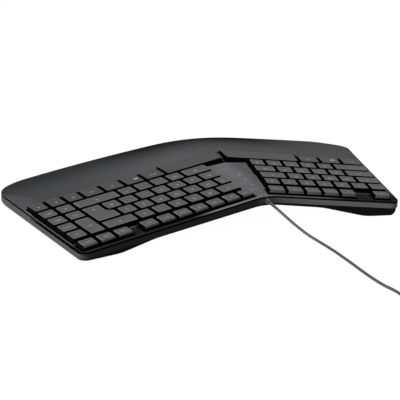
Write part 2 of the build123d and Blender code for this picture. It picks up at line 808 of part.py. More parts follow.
tie_middle = coil_centre + Vector(0, coil_radius, coil_height / 2)
with BuildPart() as coil_tie:
    with BuildSketch(Plane(tie_middle, x_dir=(0, 1, 0), z_dir=(1, 0, 0))) as tie_outline:
        inner_width, inner_height = coil_width + 2 * tie_clearance, coil_height
        Rectangle(inner_width + 2 * tie_thickness, inner_height + 2 * tie_thickness)
        chamfer(tie_outline.vertices(), tie_thickness)
        Rectangle(inner_width, inner_height, mode=Mode.SUBTRACT)
    extrude(tie_outline.sketch, amount=tie_width / 2, both=True)
save(coil_tie, "coil_tie")

with BuildPart() as usb_plug:
    with BuildSketch(plug_face) as nose:
        RegularPolygon(plug_tail_radius, relief_sides)
    with BuildSketch(plug_face.offset(plug_nose)) as nose_end:
        RegularPolygon(plug_nose_radius, relief_sides)
    loft([nose.sketch.face(), nose_end.sketch.face()])
    with BuildSketch(plug_face.offset(plug_nose)) as body:
        Rectangle(plug_width, plug_height)
        chamfer(body.vertices(), plug_chamfer)
    extrude(body.sketch, amount=plug_length)
save(usb_plug, "usb_plug")

with BuildPart() as usb_plug_shell:
    with BuildSketch(plug_face.offset(plug_nose + plug_length)) as shell:
        Rectangle(shell_width, shell_height)
        Rectangle(shell_width - 2 * shell_wall, shell_height - 2 * shell_wall, mode=Mode.SUBTRACT)
    extrude(shell.sketch, amount=shell_length)
    with BuildSketch(plug_face.offset(plug_nose + plug_length)) as back:
        Rectangle(shell_width, shell_height)
    extrude(back.sketch, amount=shell_wall)
    with BuildSketch(plug_face.offset(plug_nose + plug_length)) as tongue:
        with Locations((0, -(shell_height - tongue_height) / 2)):
            Rectangle(shell_width - 2 * shell_wall, tongue_height)
    extrude(tongue.sketch, amount=shell_length - tongue_setback)
save(usb_plug_shell, "usb_plug_shell")
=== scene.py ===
import math

import bmesh
import bpy
from mathutils import Matrix, Vector
from mathutils.bvhtree import BVHTree
from mathutils.kdtree import KDTree


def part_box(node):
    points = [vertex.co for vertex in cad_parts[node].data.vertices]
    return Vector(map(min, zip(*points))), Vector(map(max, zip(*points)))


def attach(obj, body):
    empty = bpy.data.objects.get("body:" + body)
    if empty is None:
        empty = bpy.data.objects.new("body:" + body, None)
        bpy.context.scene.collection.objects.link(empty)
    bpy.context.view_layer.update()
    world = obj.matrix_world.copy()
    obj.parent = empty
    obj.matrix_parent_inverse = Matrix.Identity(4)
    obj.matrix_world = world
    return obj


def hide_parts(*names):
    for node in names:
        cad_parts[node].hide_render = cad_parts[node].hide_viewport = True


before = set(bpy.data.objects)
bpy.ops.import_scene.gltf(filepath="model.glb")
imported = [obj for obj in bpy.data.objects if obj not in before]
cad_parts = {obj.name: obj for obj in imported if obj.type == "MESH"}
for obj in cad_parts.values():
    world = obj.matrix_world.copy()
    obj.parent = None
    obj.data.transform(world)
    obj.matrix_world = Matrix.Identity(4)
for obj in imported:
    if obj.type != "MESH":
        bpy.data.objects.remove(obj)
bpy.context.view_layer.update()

MM = 0.001
HOUSING = "housing"

# Places that part.py also uses, in millimetres
SHIFT = Vector((-31.348, -1.845, 0.0))
SPLIT = math.radians(11.4)
TENT = math.radians(5.2)
HALF_ORIGIN = 60.0
KEY_PLANE = 28.0
KEY_PITCH = 19.0
KEY_GAP = 0.8
CAP_HEIGHT = 5.6
CAP_TAPER = math.radians(17.0)
STEM_DEPTH = 6.9
STEM_SIZE = 6.4

# Camera fitted to the photograph, in the frame of the key field
CAMERA_EYE = Vector((507.93, 1067.13, 421.84 + KEY_PLANE))
CAMERA_RIGHT = Vector((-0.92015929, 0.38949072, 0.04004815))
CAMERA_DOWN = Vector((0.1066756, 0.34779439, -0.93148236))
CAMERA_LENS = 108.0
CAMERA_SENSOR = 36.0
CAMERA_CLIP = (0.05, 20.0)

# Cord: route over the desk from the middle of the key field, heights above the desk
CORD_DIAMETER = 2.8
CORD_EXIT = (0.0, 87.45, 22.9)
CORD_ROUTE = [
    (0.0, 97.0, 22.9),
    (-3.6, 107.0, 19.2),
    (-11.0, 119.0, 11.8),
    (-19.5, 132.5, 4.6),
    (-26.0, 147.0, 1.7),
    (-29.2, 168.0, 1.4),
    (-30.8, 194.0, 1.4),
    (-31.6, 222.0, 1.4),
    (-33.8, 248.0, 1.4),
    (-38.2, 266.0, 2.2),
    (-38.2, 282.0, 2.2),
]
# Its put-away coil: lead into it, widest half turn, pitch of the turns, layers and half turns in each
COIL_LEAD = 20.0
COIL_RADIUS = 20.4
COIL_PITCH = 3.3
COIL_LAYERS = 4
COIL_HALF_TURNS = 6
COIL_STEPS = 8
# From the coil's end: a first step away from it, a bend before the plug and the straight run into it
TAIL_STEP = Vector((-1.0, 10.0, -1.5))
TAIL_BEND = Vector((3.0, 20.0, 3.0))
TAIL_STRAIGHT = 6.0
PLUG_LEAD = 34.0
PLUG_HEIGHT = 4.0


def metres(point):
    """A place given from the middle of the key field, in metres in the part's frame."""
    return (Vector(point) + SHIFT) * MM


def half_axes(side):
    """Origin and axes of one half's key plane: to the right, to the rear and up."""
    across = Vector((
        math.cos(SPLIT) * math.cos(TENT), side * math.sin(SPLIT) * math.cos(TENT), -side * math.sin(TENT)))
    up = Vector((
        side * math.cos(SPLIT) * math.sin(TENT), math.sin(SPLIT) * math.sin(TENT), math.cos(TENT)))
    origin = metres((side * HALF_ORIGIN, 0.0, KEY_PLANE))
    return origin, across, up.cross(across), up


# Materials

# The cover's tones: the strip between the key fields, a painted highlight that turns to painted shade
# where it slopes at the left, the rim round the keys, and the rear behind them in painted shade
CENTRE_HIGHLIGHT_COLOR = (0.145, 0.146, 0.151)
CENTRE_LEFT_SHADE_COLOR = (0.094, 0.0946, 0.0975)
DECK_COLOR = (0.085, 0.0855, 0.088)
REAR_SHADE_COLOR = (0.017, 0.0172, 0.0178)
# Its upright walls at the rear, painted lit on the left half and painted shade on the right, and at the
# ends, and the fine line of painted shade along its outer ends
WALL_SHADE_COLOR = (0.027, 0.0273, 0.0282)
WALL_LEFT_LIT_COLOR = (0.122, 0.123, 0.127)
END_WALL_COLOR = (0.045, 0.0454, 0.0468)
END_LINE_SHADE_COLOR = (0.002, 0.002, 0.002)
# The palm rest next to the keys, darkening to painted shade towards its far end, and the painted shade
# where it rolls over at the front, darkest in the middle and lighter towards the ends, most at the left
PALM_COLOR = (0.082, 0.0825, 0.085)
PALM_END_SHADE_COLOR = (0.052, 0.0524, 0.0542)
EDGE_SHADE_COLOR = (0.008, 0.0081, 0.0085)
EDGE_END_SHADE_COLOR = (0.026, 0.0263, 0.0274)
EDGE_LEFT_SHADE_COLOR = (0.066, 0.0664, 0.0685)
# The caps, with a painted highlight on their rim, and the painted shade black of what lies between and
# under them
KEY_COLOR = (0.067, 0.0674, 0.0694)
KEY_RIM_HIGHLIGHT_COLOR = (0.088, 0.0885, 0.091)
SPACE_COLOR = (0.047, 0.0474, 0.0489)
SHADE_COLOR = (0.0015, 0.0015, 0.0015)

# Where the cover's painted light and shade change, in millimetres: from the keyboard's middle to its
# right,
SIDE_ZONE = (-15.0, 15.0)
CENTRE_ZONE = (-14.0, 8.0)
PALM_ZONE = (40.0, 210.0)
END_ZONE = (-5.0, 5.0)
# from the middle to either side,
EDGE_ZONE = (50.0, 130.0)
STRIP_ZONE = (85.0, 55.0)
# to the rear from the middle of each half's keys, along its columns,
ROLL_ZONE = (-112.0, -38.0)
WALL_ZONE = (-80.0, -50.0)
RIM_ZONE = (-32.0, -24.0)
REAR_ZONE = (62.0, 74.0)
# and outwards from the cover's outer edges
END_LINE_SHADE_ZONE = (-1.9, -1.1)
# How far a face leans where it counts as a wall, by its normal's part along z, and as an end, along x
WALL_LEAN = (0.55, 0.35)
END_LEAN = (0.6, 0.9)
# Length of the right half's cover from its key field's middle, and what the left one is short of it
END_REACH = 165.4
LEFT_SHORT = 66.6

# Moulded surfaces: clouds in tone and gloss, and a fine grain, in cycles per metre
CLOUD_SCALE = 45.0
CLOUD_DETAIL = 4.0
GRAIN_DETAIL = 3.0
TONE_SPREAD = 0.12
CASE_SPREAD = 0.06
GLOSS_SPREAD = 0.05
PLAIN_GLOSS = 0.3
RELIEF_HEIGHT = 0.0002
CASE_GRAIN = 2600.0
CASE_RELIEF = 0.18
CASE_ROUGHNESS = 0.5
# Steel's and rubber's grain: scale, change in roughness, relief and its height
STEEL_GRAIN = (900.0, 0.1, 0.1, 0.0001)
RUBBER_GRAIN = (600.0, 0.07, 0.15, 0.0002)


def new_material(name, color, roughness, metallic=0.0):
    """A material with a Principled shader, and its nodes and links for more."""
    material = bpy.data.materials.new(name)
    material.use_nodes = True
    tree = material.node_tree
    shader = tree.nodes["Principled BSDF"]
    shader.inputs["Base Color"].default_value = (*color, 1.0)
    shader.inputs["Roughness"].default_value = roughness
    shader.inputs["Metallic"].default_value = metallic
    return material, tree, shader


def add_noise(tree, scale, detail=2.0):
    """A noise texture in object coordinates, scale in cycles per metre."""
    place = tree.nodes.new("ShaderNodeTexCoord")
    noise = tree.nodes.new("ShaderNodeTexNoise")
    noise.inputs["Scale"].default_value = scale
    noise.inputs["Detail"].default_value = detail
    tree.links.new(place.outputs["Object"], noise.inputs["Vector"])
    return noise


def add_range(tree, value, low, high, start=0.0, end=1.0):
    """A value between start and end spread over low to high."""
    spread = tree.nodes.new("ShaderNodeMapRange")
    spread.inputs["From Min"].default_value = start
    spread.inputs["From Max"].default_value = end
    spread.inputs["To Min"].default_value = low
    spread.inputs["To Max"].default_value = high
    tree.links.new(value, spread.inputs["Value"])
    return spread.outputs["Result"]


def add_bump(tree, shader, height, strength, distance):
    """Fine relief on a shader."""
    bump = tree.nodes.new("ShaderNodeBump")
    bump.inputs["Strength"].default_value = strength
    bump.inputs["Distance"].default_value = distance
    tree.links.new(height, bump.inputs["Height"])
    tree.links.new(bump.outputs["Normal"], shader.inputs["Normal"])


def moulded_plastic(name, color, roughness, grain, relief, gloss=PLAIN_GLOSS):
    """Plastic with a fine spark-eroded grain, a little uneven in tone and gloss."""
    material, tree, shader = new_material(name, color, roughness)
    cloud = add_noise(tree, CLOUD_SCALE, CLOUD_DETAIL).outputs["Fac"]
    dark, light = (tuple(c * (1 + spread) for c in color) for spread in (-TONE_SPREAD, TONE_SPREAD))
    tree.links.new(add_mix(tree, cloud, dark, light), shader.inputs["Base Color"])
    fine = add_noise(tree, grain, GRAIN_DETAIL)
    rough = add_range(tree, cloud, roughness - GLOSS_SPREAD, roughness + GLOSS_SPREAD)
    tree.links.new(rough, shader.inputs["Roughness"])
    add_bump(tree, shader, fine.outputs["Fac"], relief, RELIEF_HEIGHT)
    shader.inputs["Specular IOR Level"].default_value = gloss
    return material


def add_math(tree, operation, first, second):
    """The outcome of a sum on two values, each a number or the output of a node."""
    node = tree.nodes.new("ShaderNodeMath")
    node.operation = operation
    for socket, value in zip(node.inputs, (first, second)):
        if isinstance(value, float):
            socket.default_value = value
        else:
            tree.links.new(value, socket)
    return node.outputs["Value"]


def add_mix(tree, share, first, second):
    """A colour between two, each a colour or the output of a node."""
    mix = tree.nodes.new("ShaderNodeMix")
    mix.data_type = "RGBA"
    tree.links.new(share, mix.inputs["Factor"])
    for socket, value in ((mix.inputs["A"], first), (mix.inputs["B"], second)):
        if isinstance(value, tuple):
            socket.default_value = (*value, 1.0)
        else:
            tree.links.new(value, socket)
    return mix.outputs["Result"]


def add_step(tree, value, zone, unit=MM):
    """A smooth change from 0 to 1 over a zone, which is in millimetres unless a unit is given."""
    step = tree.nodes.new("ShaderNodeMapRange")
    step.interpolation_type = "SMOOTHSTEP"
    step.inputs["From Min"].default_value = zone[0] * unit
    step.inputs["From Max"].default_value = zone[1] * unit
    tree.links.new(value, step.inputs["Value"])
    return step.outputs["Result"]


def add_sum(tree, first, first_share, second, second_share):
    """The sum of two values, each times a number."""
    first_part = add_math(tree, "MULTIPLY", first, first_share)
    return add_math(tree, "ADD", first_part, add_math(tree, "MULTIPLY", second, second_share))


def case_top(tree, beside, aside, along):
    """The tone of the cover's upper faces, with light and shade painted in: palm rest, rim, rear and the
    strip between the keys.
    """
    # The palm rest darkens with painted shade towards its far end and where it rolls over at the front,
    # less so towards the ends
    near_keys = add_mix(tree, add_step(tree, beside, PALM_ZONE), PALM_COLOR, PALM_END_SHADE_COLOR)
    edge_end = add_mix(tree, add_step(tree, beside, SIDE_ZONE), EDGE_LEFT_SHADE_COLOR, EDGE_END_SHADE_COLOR)
    edge = add_mix(tree, add_step(tree, aside, EDGE_ZONE), EDGE_SHADE_COLOR, edge_end)
    palm = add_mix(tree, add_step(tree, along, ROLL_ZONE), edge, near_keys)
    # The rim's deck darkens to painted shade towards the rear, behind the keys
    rear = add_mix(tree, add_step(tree, along, REAR_ZONE), DECK_COLOR, REAR_SHADE_COLOR)
    centre = add_mix(tree, add_step(tree, beside, CENTRE_ZONE), CENTRE_LEFT_SHADE_COLOR, CENTRE_HIGHLIGHT_COLOR)
    deck = add_mix(tree, add_step(tree, aside, STRIP_ZONE), rear, centre)
    return add_mix(tree, add_step(tree, along, RIM_ZONE), palm, deck)


def case_finish():
    """The cover's plastic, with light and shade painted into its tones: pale between the keys with a
    painted highlight, darker round them and duller over the palm rest with painted shade, and lit and
    shaded tones on its walls.
    """
    material, tree, shader = new_material("case_plastic", DECK_COLOR, CASE_ROUGHNESS)
    place = tree.nodes.new("ShaderNodeTexCoord")
    spot = tree.nodes.new("ShaderNodeSeparateXYZ")
    tree.links.new(place.outputs["Object"], spot.inputs["Vector"])
    normal = tree.nodes.new("ShaderNodeSeparateXYZ")
    tree.links.new(place.outputs["Normal"], normal.inputs["Vector"])
    sine, cosine = math.sin(SPLIT), math.cos(SPLIT)
    beside = add_math(tree, "SUBTRACT", spot.outputs["X"], SHIFT.x * MM)
    aside = add_math(tree, "ABSOLUTE", beside, 0.0)
    column = add_sum(tree, spot.outputs["Y"], cosine, aside, -sine)
    along = add_math(tree, "SUBTRACT", column, (SHIFT.y * cosine - HALF_ORIGIN * sine) * MM)
    row = add_sum(tree, spot.outputs["Y"], sine, aside, cosine)
    sideways = add_math(tree, "ABSOLUTE", normal.outputs["X"], 0.0)
    facing_end = add_step(tree, sideways, END_LEAN, 1.0)

    right_end = HALF_ORIGIN * cosine + SHIFT.y * sine + END_REACH * math.cos(TENT)
    left_end = right_end - LEFT_SHORT * math.cos(TENT)
    end = add_range(tree, add_step(tree, beside, END_ZONE), left_end * MM, right_end * MM)
    # The top's last strip at each outer end takes a painted shade line, where the surface rolls over to
    # the wall
    outer = add_step(tree, add_math(tree, "SUBTRACT", row, end), END_LINE_SHADE_ZONE)
    top = add_mix(tree, outer, case_top(tree, beside, aside, along), END_LINE_SHADE_COLOR)

    # Rear walls: painted light on the left half, painted shade on the right
    rear_wall = add_mix(tree, add_step(tree, beside, SIDE_ZONE), WALL_LEFT_LIT_COLOR, WALL_SHADE_COLOR)
    wall = add_mix(tree, facing_end, rear_wall, END_WALL_COLOR)
    upright = add_range(tree, normal.outputs["Z"], 0.0, 1.0, *WALL_LEAN)
    behind = add_math(tree, "MAXIMUM", add_step(tree, along, WALL_ZONE), facing_end)
    tone = add_mix(tree, add_math(tree, "MULTIPLY", upright, behind), top, wall)

    cloud = add_noise(tree, CLOUD_SCALE, CLOUD_DETAIL)
    shade = tree.nodes.new("ShaderNodeHueSaturation")
    spread = add_range(tree, cloud.outputs["Fac"], 1 - CASE_SPREAD, 1 + CASE_SPREAD)
    tree.links.new(spread, shade.inputs["Value"])
    tree.links.new(tone, shade.inputs["Color"])
    tree.links.new(shade.outputs["Color"], shader.inputs["Base Color"])
    shader.inputs["Specular IOR Level"].default_value = 0.0
    fine = add_noise(tree, CASE_GRAIN, GRAIN_DETAIL)
    add_bump(tree, shader, fine.outputs["Fac"], CASE_RELIEF, RELIEF_HEIGHT)
    return material


def grained(name, color, roughness, metallic, grain, detail):
    """A material with one fine grain in its gloss and its relief."""
    scale, spread, relief, height = grain
    material, tree, shader = new_material(name, color, roughness, metallic)
    noise = add_noise(tree, scale, detail).outputs["Fac"]
    rough = add_range(tree, noise, roughness - spread, roughness + spread)
    tree.links.new(rough, shader.inputs["Roughness"])
    add_bump(tree, shader, noise, relief, height)
    return material


def brushed_metal(name, color, roughness):
    """Sheet steel with a fine drawn grain."""
    return grained(name, color, roughness, 1.0, STEEL_GRAIN, CLOUD_DETAIL)


def soft_rubber(name, color, roughness):
    """Rubber with a faint uneven surface."""
    return grained(name, color, roughness, 0.0, RUBBER_GRAIN, GRAIN_DETAIL)


case_plastic = case_finish()
base_plastic = moulded_plastic("base_plastic", (0.0025, 0.0025, 0.0027), 0.5, 2200.0, 0.25, 0.04)
key_plastic = moulded_plastic("key_plastic", KEY_COLOR, 0.45, 3200.0, 0.12, 0.05)
# The caps' rounded rims take a painted highlight
key_rim_highlight = moulded_plastic("key_rim_highlight", KEY_RIM_HIGHLIGHT_COLOR, 0.4, 3200.0, 0.06, 0.05)
space_plastic = moulded_plastic("space_plastic", SPACE_COLOR, 0.45, 3200.0, 0.12, 0.05)
# The caps' walls, lips, roofs and posts take painted shade black
key_shade = moulded_plastic("key_shade", SHADE_COLOR, 0.8, 3200.0, 0.1, 0.0)
# The key frame between the caps: black plastic, in the painted shade black
frame_plastic = moulded_plastic("frame_plastic", SHADE_COLOR, 0.8, 2000.0, 0.2, 0.0)
legend_ink = moulded_plastic("legend_ink", (0.27, 0.273, 0.28), 0.5, 4000.0, 0.05)
mark_ink = moulded_plastic("mark_ink", (0.8, 0.8, 0.81), 0.5, 4000.0, 0.05)
lens_plastic = moulded_plastic("lens_plastic", (0.48, 0.486, 0.495), 0.2, 4000.0, 0.02)
groove_shade = moulded_plastic("groove_shade", SHADE_COLOR, 0.8, 2000.0, 0.1, 0.0)
board_laminate = moulded_plastic("board_laminate", (0.01, 0.12, 0.05), 0.35, 1500.0, 0.1)
membrane_film = moulded_plastic("membrane_film", (0.5, 0.54, 0.52), 0.25, 1500.0, 0.03)
foot_rubber = soft_rubber("foot_rubber", (0.012, 0.012, 0.012), 0.8)
cord_rubber = soft_rubber("cord_rubber", (0.018, 0.018, 0.019), 0.5)
dome_silicone = soft_rubber("dome_silicone", (0.5, 0.5, 0.52), 0.6)
tie_plastic = soft_rubber("tie_plastic", (0.02, 0.02, 0.02), 0.35)
plate_steel = brushed_metal("plate_steel", (0.55, 0.55, 0.56), 0.38)
plug_steel = brushed_metal("plug_steel", (0.62, 0.62, 0.64), 0.28)

NODE_MATERIALS = {
    "top_cover": case_plastic, "base_shell": base_plastic, "rubber_feet": foot_rubber,
    "case_screws": plate_steel, "key_frame_right": frame_plastic, "key_frame_left": frame_plastic,
    "dome_sheet_right": dome_silicone, "dome_sheet_left": dome_silicone,
    "membrane_right": membrane_film, "membrane_left": membrane_film,
    "backing_plate_right": plate_steel, "backing_plate_left": plate_steel,
    "controller_board": board_laminate, "indicator_lenses": lens_plastic,
    "strain_relief": cord_rubber, "coil_tie": tie_plastic, "usb_plug": cord_rubber,
    "usb_plug_shell": plug_steel,
}


def dress_nodes():
    """Give each carried-over CAD node its material."""
    for name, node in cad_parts.items():
        node.data.materials.clear()
        node.data.materials.append(NODE_MATERIALS.get(name, key_plastic))


# The cover's fine groove, in millimetres: its widest opening and where a search starts off a face,
# then how far off its corners the rim's narrow faces above it reach, how far below them they may lie,
# and how they lean, by their normal's part along z
GROOVE_WIDTH = 0.8
GROOVE_CLEAR = 0.05
GROOVE_RIM = 1.25
GROOVE_DROP = 0.2
GROOVE_LEAN = (-0.2, 0.75)


def shade_groove():
    """The groove under the cover's rim, and the rim's narrow edge above it, take the shade's black."""
    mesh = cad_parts["top_cover"].data
    mesh.materials.append(groove_shade)
    shaded = len(mesh.materials) - 1
    surface = BVHTree.FromPolygons([v.co for v in mesh.vertices], [p.vertices[:] for p in mesh.polygons])
    upward = Vector((0.0, 0.0, 1.0))
    corners = set()
    for polygon in mesh.polygons:
        start = polygon.center + polygon.normal * GROOVE_CLEAR * MM
        reach = [surface.ray_cast(start, way, GROOVE_WIDTH * MM)[3] for way in (upward, -upward)]
        if None not in reach and sum(reach) < GROOVE_WIDTH * MM:
            polygon.material_index = shaded
            corners.update(polygon.vertices)
    near = KDTree(len(corners))
    for number, corner in enumerate(sorted(corners)):
        near.insert(mesh.vertices[corner].co, number)
    near.balance()
    for polygon in mesh.polygons:
        spots = [mesh.vertices[v].co for v in polygon.vertices]
        upright = GROOVE_LEAN[0] < polygon.normal.z < GROOVE_LEAN[1]
        if upright and all(near.find(spot)[2] < GROOVE_RIM * MM for spot in spots):
            if max(spot.z for spot in spots) > near.find(spots[0])[0].z - GROOVE_DROP * MM:
                polygon.material_index = shaded


# Cord

def coil_points(start):
    """Turns of the put-away coil, laid in, up and out again in layers, from its first point."""
    x, y, z = start
    steps = [COIL_RADIUS - k * COIL_PITCH / 2 for k in range(COIL_HALF_TURNS)]
    turns = []
    for layer in range(COIL_LAYERS):
        inward = layer % 2 == 0
        turns += [(radius, 0.0) for radius in (steps if inward else steps[::-1])]
        edge = COIL_RADIUS - COIL_HALF_TURNS * COIL_PITCH / 2 if inward else COIL_RADIUS + COIL_PITCH / 2
        turns.append((edge, COIL_PITCH))
    turns = turns[:-2]
    turns[-1] = (turns[-1][0] + COIL_PITCH, 0.0)
    points, heading = [], 1
    for radius, rise in turns:
        for step in range(COIL_STEPS):
            angle = math.pi * step / COIL_STEPS
            lift = rise * (1 - math.cos(angle)) / 2
            inward_x = heading * radius * (1 - math.cos(angle))
            points.append((x - inward_x, y + heading * radius * math.sin(angle), z + lift))
        x -= heading * 2 * radius
        z += rise
        heading = -heading
    return points, (x, y, z)


def make_cord():
    """The cord from the relief over the desk, its coil and the tail to the plug."""
    end_x, end_y, end_z = CORD_ROUTE[-1]
    turns, coil_end = coil_points((end_x, end_y + COIL_LEAD, end_z))
    plug_y = end_y + COIL_LEAD + PLUG_LEAD
    tail = [
        coil_end,
        Vector(coil_end) + TAIL_STEP,
        Vector((end_x, coil_end[1], PLUG_HEIGHT)) + TAIL_BEND,
        (end_x, plug_y - TAIL_STRAIGHT, PLUG_HEIGHT),
        (end_x, plug_y, PLUG_HEIGHT),
    ]
    points = [CORD_EXIT, *CORD_ROUTE, *turns, *tail]
    curve = bpy.data.curves.new("usb_cord_line", "CURVE")
    curve.dimensions = "3D"
    curve.bevel_depth = CORD_DIAMETER / 2 * MM
    curve.bevel_resolution = 5
    curve.resolution_u = 6
    curve.use_fill_caps = True
    spline = curve.splines.new("NURBS")
    spline.points.add(len(points) - 1)
    for spot, point in zip(spline.points, points):
        spot.co = (*metres(point), 1.0)
    spline.order_u = 3
    spline.use_endpoint_u = True
    cord = bpy.data.objects.new("usb_cord_line", curve)
    bpy.context.scene.collection.objects.link(cord)
    curve.materials.append(cord_rubber)
    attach(cord, HOUSING)
    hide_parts("usb_cord", "usb_cord_coil")


# Keycaps

CAP_LABELS = {
    "function_keys_right": ["F6", "F7", "F8", "F9", "F10", "F11", "F12"],
    "media_keys": ["Calc", "Vol-", "Vol+"],
    "number_keys_right": ["7", "8", "9", "0", "-", "="],
    "backspace_key": ["arrow left"],
    "delete_key": ["Del"],
    "top_letter_keys_right": ["Y", "U", "I", "O", "P", "[", "]"],
    "home_letter_keys_right": ["H", "J", "K", "L", ";", "'", "#"],
    "bottom_letter_keys_right": ["N", "M", ",", ".", "/"],
    "shift_key_right": ["arrow up"],
    "navigation_keys": ["Ins", "Home", "PgUp", "PgDn"],
    "end_key": ["End"],
    "up_key": ["arrow up"],
    "right_arrow_key": ["arrow right"],
    "down_key": ["arrow down"],
    "left_arrow_key": ["arrow left"],
    "control_key_right": ["Ctrl"],
    "menu_key": ["bars"],
    "function_shift_key": ["Fn"],
    "alt_key_right": ["Alt Gr"],
    "enter_key": ["arrow left"],
    "space_bar_right": [],
    "escape_key": ["Esc"],
    "function_keys_left": ["F5", "F4", "F3", "F2", "F1"],
    "number_keys_left": ["6", "5", "4", "3", "2", "1"],
    "accent_key": ["`"],
    "top_letter_keys_left": ["T", "R", "E", "W", "Q"],
    "tab_key": ["Tab"],
    "home_letter_keys_left": ["G", "F", "D", "S", "A"],
    "caps_lock_key": ["Caps"],
    "bottom_letter_keys_left": ["B", "V", "C", "X", "Z"],
    "shift_key_left": ["arrow up"],
    "alt_key_left": ["Alt"],
    "system_key": ["ring"],
    "control_key_left": ["Ctrl"],
    "space_bar_left": [],
}
KEY, INK, PAINTED_SHADE, RIM_HIGHLIGHT = range(4)
REAR_ROW = ("function_keys_right", "media_keys", "escape_key", "function_keys_left")
PALM_SIDE = (
    "right_arrow_key", "down_key", "left_arrow_key", "control_key_right", "menu_key",
    "function_shift_key", "alt_key_right", "space_bar_right", "alt_key_left", "system_key",
    "control_key_left", "space_bar_left")
# The two keys with a bright, larger mark, and how far it lies off the cap's middle
BRIGHT_MARKS = {"function_shift_key": Vector((-4.3, -1.4)), "system_key": Vector((-3.4, -2.0))}
MARK_GROWTH = 1.4
# The bent Enter key, in key pitches from the middle of the right half
ENTER_CORNERS = [(5.37, 0.5), (6.52, 0.5), (6.52, 2.5), (5.04, 2.5), (5.04, 1.5), (5.37, 1.5)]

# A cap, in millimetres. Its wall takes painted shade up into the shoulder, and the rear row's keeps the
# cap's own tone at the rear, where light falls on it
CAP_WALL = 1.4
CAP_ROOF = 1.6
CAP_ROUND = 0.5
REAR_ROW_ROUND = 1.3
CORNER_LOW = 0.9
CORNER_TOP = 1.6
CORNER_STEPS = 4
ROUND_STEPS = 4
SHADED_BANDS = 4
REAR_LIT_FROM = 2
SKIRT_LOW = {1: -2.0, -1: -2.8}
FOOT_INSET = 0.12
FOOT_RISE = 0.15
FOOT_FLARE = 0.02
SHOULDER_REACH = 1.1
SHOULDER_CORNER = 0.4
ROOF_LEAN = 0.6
POST_CORNER = 0.4
POST_SINK = 0.3
PALM_REACH = 0.95
PALM_CORNER = 0.25
DISH = 0.38
SLIGHT_DISH = 0.12
DISH_RINGS = (0.9, 0.62, 0.38, 0.18)
CAP_SHARP = math.radians(50.0)

# Reading the caps off the CAD: slack in millimetres, and limits for directions and turns
WELD = 2e-6
SNAP = 0.05
BOX_SLACK = 0.1
POST_SPREAD = 1.6 * STEM_SIZE
LEVEL = 0.9
STRAIGHT = 0.02
PALM_FACING = 0.95
REAR_FACING = -0.6
TINY = 1e-6
PARALLEL = 1e-9

# Legends, in millimetres
LEGEND_LIFT = 0.03
LEGEND_SINK = 0.15
LETTER_SIZE = 5.6
WORD_SIZE = 3.3
BAR_HALF = (1.4, 0.18)
BAR_PLACES = (-0.9, 0.0, 0.9)
RING_RADII = (1.5, 1.1)
RING_STEPS = 16


def key_side(name):
    """1 for a key node of the right half, -1 for one of the left."""
    return 1 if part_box(name)[0].x / MM > SHIFT.x - 1.0 else -1


def read_caps(name, side):
    """Each cap of a key node on its half, in millimetres: its lower outline and its posts' places."""
    origin, across, rear, up = half_axes(side)
    work = bmesh.new()
    work.from_mesh(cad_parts[name].data)
    bmesh.ops.remove_doubles(work, verts=work.verts, dist=WELD)

    def place(vert):
        offset = (vert.co - origin) / MM
        return Vector((offset.dot(across), offset.dot(rear)))

    def depth(vert):
        return (vert.co - origin).dot(up) / MM

    links = {}
    for edge in work.edges:
        if any(abs(depth(v) + CAP_HEIGHT) > SNAP for v in edge.verts):
            continue
        flat = [abs(face.normal.dot(up)) > LEVEL for face in edge.link_faces]
        if len(flat) == 2 and flat[0] != flat[1]:
            first, second = edge.verts
            links.setdefault(first, []).append(second)
            links.setdefault(second, []).append(first)
    outlines, passed = [], set()
    for start in links:
        if start in passed:
            continue
        loop, last, here = [place(start)], start, links[start][0]
        while here is not start:
            passed.add(here)
            loop.append(place(here))
            ahead = [v for v in links[here] if v is not last]
            last, here = here, ahead[0]
        outlines.append(straighten(loop))
    if name == "enter_key":
        outlines = [enter_outline()]
    posts = []
    for vert in work.verts:
        if abs(depth(vert) + STEM_DEPTH) < SNAP:
            spot = place(vert)
            near = [group for group in posts if (group[0] - spot).length < POST_SPREAD]
            if near:
                near[0].append(spot)
            else:
                posts.append([spot])
    work.free()
    posts = [sum(group, Vector((0.0, 0.0))) / len(group) for group in posts]
    outlines.sort(key=lambda loop: -abs(area(loop)))
    caps = []
    for loop in outlines:
        if not any(within(loop[0], cap) for cap in caps):
            caps.append(loop)
    caps = [loop if area(loop) > 0 else loop[::-1] for loop in caps]
    return [(loop, [post for post in posts if within(post, loop)]) for loop in order_caps(caps, side)]


def enter_outline():
    """The bent Enter key's lower outline in one piece, anticlockwise."""
    corners = [Vector(corner) * KEY_PITCH for corner in ENTER_CORNERS]
    count = len(corners)
    return rounded(corners, [KEY_GAP / 2] * count, [0.0] * count, 0)


def order_caps(caps, side):
    """Caps from the middle of the keyboard outwards along a row, or from the rear down a column."""
    centres = [sum(loop, Vector((0.0, 0.0))) / len(loop) for loop in caps]
    wide = max(c.x for c in centres) - min(c.x for c in centres)
    deep = max(c.y for c in centres) - min(c.y for c in centres)

    def rank(pair):
        return side * pair[0].x if wide > deep else -pair[0].y

    return [cap for _, cap in sorted(zip(centres, caps), key=rank)]


def straighten(loop):
    """A loop without the points that lie on its straight runs."""
    kept = []
    for before, here, after in zip(loop[-1:] + loop[:-1], loop, loop[1:] + loop[:1]):
        first, second = (here - before).normalized(), (after - here).normalized()
        if abs(first.x * second.y - first.y * second.x) > STRAIGHT:
            kept.append(here)
    return kept


def area(loop):
    """Signed area of a loop, positive where it runs anticlockwise."""
    return sum(a.x * b.y - a.y * b.x for a, b in zip(loop, loop[1:] + loop[:1])) / 2


def within(point, loop):
    """Whether a point lies in the box round a loop."""
    spans = zip(point, (min(p.x for p in loop), min(p.y for p in loop)),
                (max(p.x for p in loop), max(p.y for p in loop)))
    return all(low - BOX_SLACK < value < high + BOX_SLACK for value, low, high in spans)


